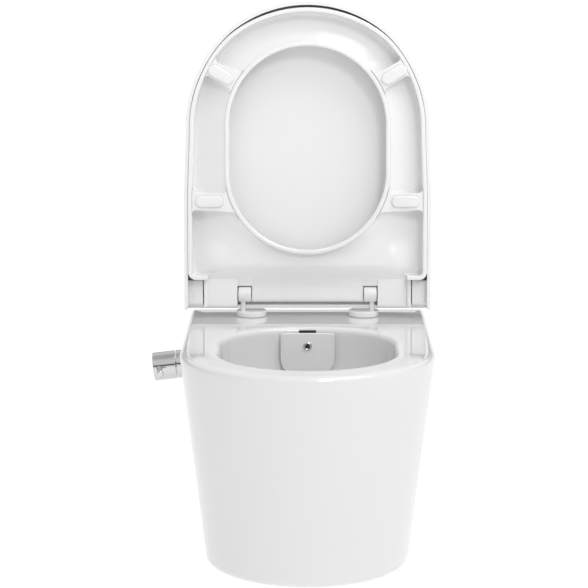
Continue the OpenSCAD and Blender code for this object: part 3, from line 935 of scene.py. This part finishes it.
@dataclass
class Seat:
    """The seat, drawn closed: t runs forward from the hinge and z runs up."""

    half: float = 179.5
    tip: float = 433.0
    sides_end: float = 24.0
    corner: float = 12.0
    hole_r: float = 117.5
    hole_front: float = 256.5
    hole_rear: float = 186.5
    edge: float = -31.5
    top: float = 6.0
    bridge_half: float = 13.0
    bridge_z: float = -30.4
    pad_t: float = 142.0
    pad_x: float = 147.0
    front_angle: float = 31.0
    front_r: float = 151.0
    blunt: float = 2.0
    bridges: tuple[float, float] = (184.84, 393.46)
    length: float = 685.8
    knuckles: tuple = ((106.0, 45.6, -9.5), (150.6, 6.0, -15.0))
    knuckle_heel: float = -19.5
    knots: tuple = (
        (0.0, 0.0), (168.8, 104.9), (184.84, 121.0), (200.8, 137.1), (281.96, 184.57),
        (348.96, 254.57), (377.46, 282.9), (393.46, 300.2), (409.46, 317.5), (435.46, 351.8),
        (499.46, 389.9), (518.3, 398.0), (535.8, 402.0), (685.8, 439.14),
    )
    stations: list[Station] = field(default_factory=list)

    @property
    def centre(self) -> float:
        """How far forward the centre of the seat's front round is."""
        return self.tip - self.half

    def outline(self, p: float) -> tuple[tuple[float, float], tuple[float, float], bool]:
        """A point on the outside of the seat.

        Args:
            p: How far it is from the tip, along the outside.

        Returns:
            The point, its inward direction and whether it is on the back.
        """
        arc = self.half * math.pi / 2
        side = arc + self.centre - self.sides_end - self.corner
        turn = side + self.corner * math.pi / 2
        if p <= arc:
            a = p / self.half
            s, c = math.sin(a), math.cos(a)
            return (self.half * s, self.centre + self.half * c), (-s, -c), False
        if p <= side:
            return (self.half, self.centre - (p - arc)), (-1.0, 0.0), False
        inner = self.half - self.corner
        if p <= turn:
            a = (p - side) / self.corner
            s, c = math.sin(a), math.cos(a)
            at = (inner + self.corner * c, self.sides_end + self.corner * (1 - s))
            return at, (-c, s), False
        x = inner - (p - turn)
        return (max(x, 0.0), self.sides_end), (0.0, 1.0), x < 150

    def hole(self, q: float) -> tuple[tuple[float, float], tuple[float, float]]:
        """A point on the hole, q from its front, with its outward direction."""
        r = self.hole_r
        arc, flat = r * math.pi / 2, self.hole_front - self.hole_rear
        if q <= arc:
            s, c = math.sin(q / r), math.cos(q / r)
            return (r * s, self.hole_front + r * c), (s, c)
        if q <= arc + flat:
            return (r, self.hole_front - (q - arc)), (1.0, 0.0)
        a = min((q - arc - flat) / r, math.pi / 2)
        s, c = math.sin(a), math.cos(a)
        return (r * c, self.hole_rear - r * s), (c, -s)

    def survey(self) -> None:
        """Sets the stations out, closely where a bridge starts."""
        places: set[float] = set()
        p = 0.0
        while p < self.length:
            places.add(round(p, 2))
            near = min(abs(abs(p - bridge) - 15) for bridge in self.bridges)
            p += 0.6 if near < 6 else (1.2 if 495 < p < 560 else 3.0)
        places |= {self.length, 535.6, 536.4}
        for p in sorted(places):
            outer, inward, back = self.outline(p)
            spot, outward = self.hole(table(self.knots, p)[0])
            across = min(abs(p - bridge) for bridge in self.bridges)
            self.stations.append(Station(outer, inward, spot, outward, across, back))

    @staticmethod
    def rear_floor(t: float) -> float:
        """Height of the underside between the hinges, which rises towards the axis."""
        return -19 + 14 * smoothstep(48, 9, t)

    def floor(self, x: float, t: float, s: float) -> float:
        """Height of the underside's hollow.

        Args:
            x: Distance from the middle of the seat.
            t: Distance forward from the hinge.
            s: Share of the way from the wall to the lip.

        Returns:
            The height of the hollow's floor.
        """
        lip_side = mix(-27.3, -19.5, smoothstep(322, 352, t))
        channel = mix(0.5, lip_side, s**1.15)
        rear = smoothstep(100, 50, t) * smoothstep(176, 128, abs(x))
        return mix(channel, min(self.rear_floor(t), -4.0), rear)

    def under(self, station: Station, k: float) -> tuple[float, float, float]:
        """A point of the underside at row k of its section."""
        ox, ot = station.outer
        ix, it = station.inward
        hx, ht = station.hole
        gx, gt = station.outward
        rim = ((0.0, 1.0), (0.3, 0.3), (1.0, 0.0), (5.0, 0.0), (5.7, 0.3), (6.0, 1.0), (6.3, 10.0))
        k = int(k)
        if k < len(rim):
            d, up = rim[k]
            x, t = ox + ix * d, ot + it * d
            z = self.edge + up
            return x, t, self.rear_floor(t) if station.back else z
        k -= len(rim)
        start = 6.5
        lip = 7.6
        ax, at = ox + ix * start, ot + it * start
        bx, bt = hx + gx * lip, ht + gt * lip
        length = math.hypot(ax - bx, at - bt)
        fillet = 8.0
        if k < 8:
            a = math.pi / 2 * k / 7
            d = fillet * (1 - math.cos(a))
            rise = fillet * (1 - math.sin(a))
        else:
            d = fillet + (length - fillet) * ((k - 7) / 18)
            rise = 0.0
        s = d / length
        x, t = mix(ax, bx, s), mix(at, bt, s)
        z = self.floor(x, t, s)
        if station.back:
            return x, t, mix(self.rear_floor(t), z, smoothstep(0, 30, d))
        z -= rise
        ends = min(d, length - d)
        corner = 7.5
        inset = min(max(corner - ends, 0), corner)
        spread = corner - math.sqrt(corner**2 - inset**2)
        wall = self.bridge_half + spread
        on = smoothstep(wall + 1.0, wall - 0.4, station.bridge)
        soft = smoothstep(wall + 5.5, wall, station.bridge)
        z -= 2.6 * soft * (1 - on)
        return x, t, mix(z, self.bridge_z, on)

    def bead(self, station: Station, k: float) -> tuple[float, float, float]:
        """A point on the lip round the hole, from its outer foot over to the top of the hole."""
        rows = (
            (7.0, -27.0), (6.7, -28.6), (6.1, -29.5), (5.0, -29.9), (3.3, -30.0), (1.6, -29.8),
            (0.6, -29.2), (0.1, -28.2), (0.0, -25.0), (0.0, -17.0), (0.2, -15.6), (0.9, -14.4),
            (2.2, -13.4),
        )
        g, z = rows[int(k)]
        (hx, ht), (gx, gt) = station.hole, station.outward
        return hx + gx * g, ht + gt * g, z

    def upper(self, station: Station, k: float) -> tuple[float, float, float]:
        """A point of the top side, from the hole out to the outside wall."""
        (ox, ot), (ix, it) = station.outer, station.inward
        (hx, ht), (gx, gt) = station.hole, station.outward
        steps = 14
        r = 7.0
        if k <= steps:
            t_share = k / steps
            ax, at = hx + gx * 4, ht + gt * 4
            bx, bt = ox + ix * r, ot + it * r
            z = mix(-12.4, self.top, smoothstep(-0.35, 0.95, t_share) * 1.12 - 0.12 * (1 - t_share))
            return mix(ax, bx, t_share), mix(at, bt, t_share), min(z, self.top)
        a = math.pi / 2 * (k - steps) / 6
        if k - steps <= 6:
            d = r * (1 - math.sin(a))
            z = self.top if station.back else self.top - r * (1 - math.cos(a))
            return ox + ix * d, ot + it * d, z
        z = mix(self.top - r, self.edge + 1, (k - steps - 6) / 3)
        if station.back:
            z = mix(self.top, self.rear_floor(ot), (k - steps - 6) / 3)
        return ox, ot, z

    def section(self, i: float, j: float) -> Point:
        """A point of the ring, from its station and its row."""
        station = self.stations[int(i)]
        row = int(j)
        if row < 33:
            x, t, z = self.under(station, row)
        elif row < 46:
            x, t, z = self.bead(station, row - 33)
        else:
            x, t, z = self.upper(station, row - 46)
        return x, -t, z

    def ring(self) -> bmesh.types.BMesh:
        """The seat's ring: both halves of its hollow shell."""
        self.survey()
        bm = bmesh.new()
        sheet(bm, len(self.stations) - 1, 46 + 23, self.section)
        mirrored(bm)
        return bm

    def rear(self, bm: bmesh.types.BMesh) -> None:
        """The slabs behind the ring and the two knuckles."""
        under = [(t, self.rear_floor(t)) for t in (25.0, 21.0, 17.0, 13.0, 9.0, 4.0, 0.0)]
        round_end = [
            (-6.2 - 5.5 * math.cos(a), 0.5 + 5.5 * math.sin(a))
            for a in (math.radians(d) for d in range(-90, 91, 15))
        ]
        middle = [*under, *round_end, (25.0, self.top)]
        prism(bm, [(-84.4, -t, z) for t, z in middle], (168.8, 0, 0), 0.8)
        notch = [(t, self.rear_floor(t)) for t in (25.0, 21.0, 17.0)]
        notch += [(12.9, -6.0), (12.9, self.top), (25.0, self.top)]
        for side in (-1, 1):
            prism(bm, [(side * 83.0, -t, z) for t, z in notch], (side * 24.0, 0, 0), 0.6)
            for start, width, face in self.knuckles:
                knuckle = rounded([
                    (30.0, face, 0), (self.knuckle_heel, face, 5.0), (self.knuckle_heel, self.top, 6.0),
                    (30.0, self.top, 0), (30.0, 0.0, 0),
                ], 6)[:-1]
                prism(bm, [(side * start, -t, z) for t, z in knuckle], (side * width, 0, 0), 1.5)

    def pad_frames(self) -> dict[str, list[Matrix]]:
        """Where the bumpers stand, by their CAD node."""
        centre = Matrix.Translation((0, -self.centre, 0))
        front = [
            centre
            @ Matrix.Rotation(math.radians(a), 4, "Z")
            @ Matrix.Translation((self.front_r if a < 0 else -self.front_r, 0, 0))
            for a in (-self.front_angle, self.front_angle)
        ]
        rear = [Matrix.Translation((side * self.pad_x, -self.pad_t, 0)) for side in (1, -1)]
        return {"seat_front_bumpers": front, "seat_rear_bumpers": rear}

    def build(self, maker: Maker) -> None:
        """Makes the seat and its bumpers."""
        bm = self.ring()
        for v in bm.verts:
            v.co.y += self.blunt * smoothstep(385, self.tip, -v.co.y)
        tapered(bm)
        bmesh.ops.remove_doubles(bm, verts=bm.verts, dist=1e-3)
        bmesh.ops.recalc_face_normals(bm, faces=bm.faces)
        self.rear(bm)
        for frames in self.pad_frames().values():
            for at in frames:
                self.collar(bm, at)
        maker.piece("seat_shell", bm, RAISED, "seat_plastic", "seat", ("seat",), sharp=40)
        for node, frames in self.pad_frames().items():
            pads = bmesh.new()
            for at in frames:
                pad = bmesh.new()
                prism(pad, [(x, y, -34.2) for x, y in stadium(41.6, 17.6)], (0, 0, 5.5), 2.6)
                join(pads, pad, at)
            maker.piece(node.replace("bumpers", "pads"), pads, RAISED, "bumper", "seat", (node,))

    def collar(self, bm: bmesh.types.BMesh, at: Matrix) -> None:
        """The low stadium rim that a bumper sits in."""
        part = bmesh.new()
        loops = []
        for length, width, z in (
            (46.0, 22.0, self.bridge_z + 0.4), (45.2, 21.2, self.bridge_z - 0.5),
            (43.6, 19.6, self.bridge_z - 0.5), (43.0, 19.0, self.bridge_z + 0.4),
        ):
            verts = [part.verts.new((x, y, z)) for x, y in stadium(length, width)]
            loops.append([part.edges.new(p) for p in zip(verts, verts[1:] + verts[:1])])
        for a, b in zip(loops, loops[1:]):
            bmesh.ops.bridge_loops(part, edges=a + b)
        bmesh.ops.recalc_face_normals(part, faces=part.faces)
        join(bm, part, at)


# ---------- lid ----------


@dataclass
class Lid:
    """The lid, drawn closed as the seat is."""

    half: float = 185.2
    tip: float = 440.0
    heel: float = -21.6
    top: float = 16.5
    edge: float = -29.0
    edge_round: float = 12.0
    wall: float = 5.2
    crown: float = 1.6
    columns: int = 170

    @property
    def centre(self) -> float:
        """How far forward the centre of the lid's front round is."""
        return self.tip - self.half

    def outline(self, u: float, cut: float) -> tuple[float, float]:
        """A point on half the outline, drawn in by cut, from the tip round to the heel's middle."""
        r = self.half - cut
        if u <= 0.42:
            a = math.pi / 2 * u / 0.42
            return r * math.sin(a), self.centre + r * math.cos(a)
        low = self.heel + cut
        if u <= 0.76:
            return r, mix(self.centre, low, (u - 0.42) / 0.34)
        return r * (1 - (u - 0.76) / 0.24), low

    def surface(self, i: float, j: float) -> Point:
        """A point of the lid's outside, from its middle over the edge and down the wall."""
        u = i / self.columns
        rows, bend = 12, 10
        if j <= rows:
            share = j / rows
            x, t = self.outline(u, self.edge_round)
            mid = min(max(t, 60.0), self.centre)
            z = self.top - self.crown * share**2
            return x * share, -mix(mid, t, share), z
        base = self.top - self.crown
        r = self.edge_round
        if j <= rows + bend:
            a = math.pi / 2 * (j - rows) / bend
            x, t = self.outline(u, r * (1 - math.sin(a)))
            return x, -t, base - r * (1 - math.cos(a))
        x, t = self.outline(u, 0.0)
        return x, -t, mix(base - r, self.edge, (j - rows - bend) / 6)

    def build(self, maker: Maker) -> None:
        """Makes the lid."""
        bm = bmesh.new()
        sheet(bm, self.columns, 28, self.surface)
        mirrored(bm)
        low = self.top - self.crown - self.edge_round - 0.01
        behind = [
            f for f in bm.faces
            if all(v.co.y > -self.heel - 0.01 and v.co.z < low + 0.1 for v in f.verts)
        ]
        bmesh.ops.delete(bm, geom=behind, context="FACES")
        bmesh.ops.remove_doubles(bm, verts=bm.verts, dist=1e-3)
        bmesh.ops.recalc_face_normals(bm, faces=bm.faces)
        if sum(f.normal.z * f.calc_area() for f in bm.faces) < 0:
            bmesh.ops.reverse_faces(bm, faces=bm.faces)
        tapered(bm)
        shell = maker.piece("lid_shell", bm, RAISED, "seat_plastic", "lid", ("lid",), sharp=40)
        wall = shell.modifiers.new("wall", "SOLIDIFY")
        wall.thickness = self.wall * MM
        wall.offset = -1
        wall.use_even_offset = True
        soft = shell.modifiers.new("soft_edge", "BEVEL")
        soft.width = 1.1 * MM
        soft.segments = 3
        soft.limit_method = "ANGLE"
        soft.angle_limit = math.radians(50)
        lugs = bmesh.new()
        for side in (-1, 1):
            outline = rounded([
                (-16.0, self.top - 4, 0), (-16.0, -12.4, 6.0), (22.4, -12.4, 4.0),
                (22.4, self.top - 4, 0), (0.0, self.top - 4, 0),
            ], 8)[:-1]
            prism(lugs, [(side * 158.0, -t, z) for t, z in outline], (side * 24.5, 0, 0), 1.2)
        maker.piece("lid_lugs", lugs, RAISED, "seat_plastic", "lid", sharp=40)


# ---------- stage ----------


@dataclass
class Studio:
    """Camera, lights and floor."""

    distance: float = 3.372
    height: float = 0.721
    pitch: float = 10.28
    lens: float = 135.9
    shift: float = -0.02296
    floor_z: float = -0.315
    room: float = 0.8
    dim_band: tuple = (
        (0.0, 1.0), (0.12, 1.0), (0.15, 0.15), (0.3, 0.15), (0.36, 1.0), (0.8, 1.0), (1.0, 0.6),
    )

    def camera(self) -> None:
        """Places the camera in front of the pan, looking slightly down."""
        data = bpy.data.cameras.new("camera")
        data.sensor_width = 36.0
        data.lens = self.lens
        data.shift_x = self.shift
        data.clip_end = 200.0
        made = bpy.data.objects.new("camera", data)
        made.location = (0, -self.distance, self.height)
        made.rotation_euler = (math.radians(90 - self.pitch), 0, 0)
        bpy.context.scene.collection.objects.link(made)
        bpy.context.scene.camera = made

    @staticmethod
    def light(name: str, at: Point, to: Point, size: float, power: float) -> None:
        """Hangs one soft square light."""
        data = bpy.data.lights.new(name, "AREA")
        data.shape = "SQUARE"
        data.size = size
        data.energy = power
        made = bpy.data.objects.new(name, data)
        made.location = at
        made.rotation_euler = (Vector(to) - Vector(at)).to_track_quat("-Z", "Y").to_euler()
        bpy.context.scene.collection.objects.link(made)

    def surround(self) -> None:
        """Fills the room with pale light and one dim band for the chrome."""
        world = bpy.data.worlds.new("room")
        world.use_nodes = True
        tree = world.node_tree
        back = tree.nodes["Background"]
        back.inputs["Strength"].default_value = self.room
        place = tree.nodes.new("ShaderNodeTexCoord")
        split = tree.nodes.new("ShaderNodeSeparateXYZ")
        ramp = tree.nodes.new("ShaderNodeValToRGB")
        tree.links.new(place.outputs["Generated"], split.inputs[0])
        tree.links.new(split.outputs["Z"], ramp.inputs["Fac"])
        tree.links.new(ramp.outputs["Color"], back.inputs["Color"])
        elements = ramp.color_ramp.elements
        while len(elements) < len(self.dim_band):
            elements.new(0.5)
        for element, (height, shade) in zip(elements, self.dim_band):
            element.position = height
            element.color = (shade, shade, shade, 1.0)
        bpy.context.scene.world = world

    def floor(self) -> None:
        """Lays a plain pale floor."""
        bm = bmesh.new()
        bmesh.ops.create_grid(bm, x_segments=1, y_segments=1, size=60.0)
        bmesh.ops.translate(bm, verts=bm.verts, vec=(0, 0, self.floor_z))
        mesh = bpy.data.meshes.new("floor")
        bm.to_mesh(mesh)
        bm.free()
        graph = Graph("floor_paint")
        paint = graph.node(
            "ShaderNodeBsdfPrincipled",
            Base_Color=graph.blend(graph.noise(1.5), (0.3, 0.3, 0.3), (0.32, 0.32, 0.32)),
            Roughness=0.9,
            Emission_Color=(1.0, 1.0, 1.0, 1.0),
            Emission_Strength=0.78,
        )
        graph.node("ShaderNodeOutputMaterial", Surface=paint)
        mesh.materials.append(graph.material)
        made = bpy.data.objects.new("floor", mesh)
        bpy.context.scene.collection.objects.link(made)

    def build(self) -> None:
        """Sets the stage up."""
        self.camera()
        self.surround()
        self.floor()
        self.light("top", (1.0, -0.9, 2.6), (0, -0.2, 0.1), 1.6, 27.0)
        self.light("key", (0.9, -3.0, 2.2), (0, -0.1, 0.3), 0.7, 22.0)
        bpy.context.scene.view_settings.view_transform = "Standard"


def main() -> None:
    """Builds the stage, dresses the CAD nodes and adds every new piece."""
    logging.basicConfig(level=logging.INFO, format="%(message)s")
    Studio().build()
    maker = Maker()
    maker.carry()
    for assembly in (Pan(), Nozzle(), Tap(), Hinge(), Seat(), Lid()):
        assembly.build(maker)


if __name__ == "__main__":
    main()
